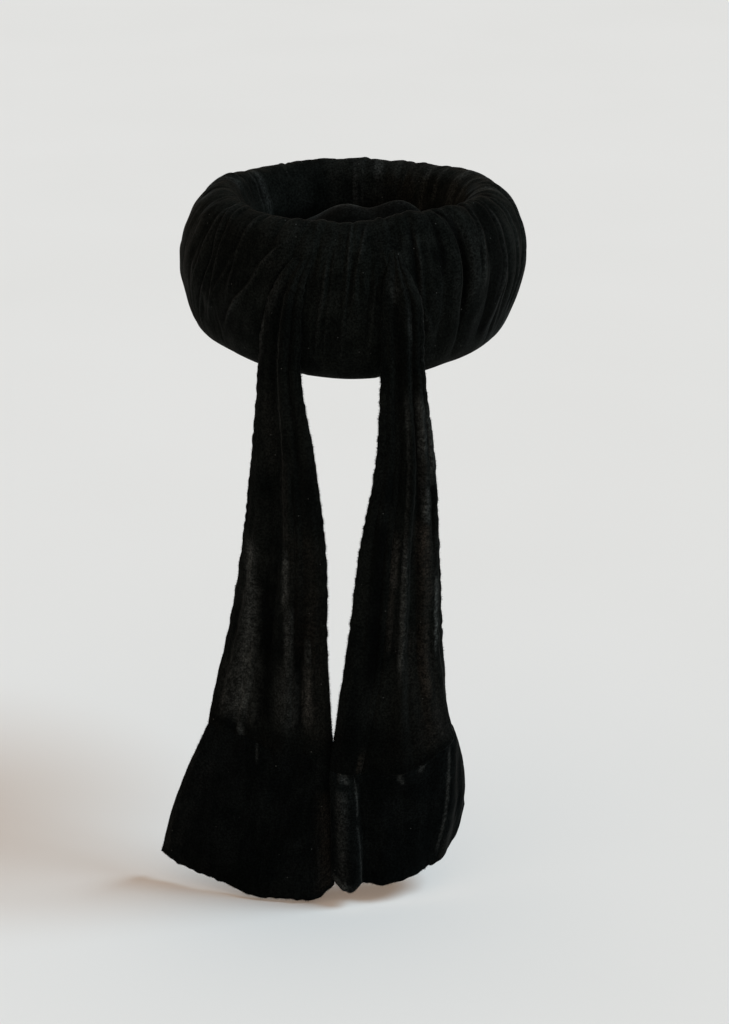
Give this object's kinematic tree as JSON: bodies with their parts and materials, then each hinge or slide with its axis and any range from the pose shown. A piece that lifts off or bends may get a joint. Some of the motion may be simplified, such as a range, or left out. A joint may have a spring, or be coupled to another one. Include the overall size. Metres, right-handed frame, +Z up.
{
  "type": "tilt hat",
  "caption": "Black velvet tilt hat in its worn form: a stuffed, gathered doughnut roll around a soft sunken crown, with long streamers hanging from the back into flared cuffs.",
  "frame": {"origin": "middle of the head opening, level with the lower edge of the roll at its front", "axes": "+Z up as worn, +Y to the wearer's front, +X to the wearer's right; the streamers hang at -Y"},
  "size_m": [0.2522, 0.2533, 0.4786],
  "materials": {
    "roll_velvet": "deep black silk velvet over soft filling, upright nap",
    "crown_velvet": "deep black silk velvet, upright nap",
    "tail_velvet": "black silk velvet, nap pressed and shining in patches",
    "cuff_velvet": "black velvet, dense upright nap"
  },
  "bodies": {
    "root": {"brim_roll": "roll_velvet", "crown": "crown_velvet", "tail_left": "tail_velvet", "tail_right": "tail_velvet", "cuff_left": "cuff_velvet", "cuff_right": "cuff_velvet"}
  },
  "joints": []
}
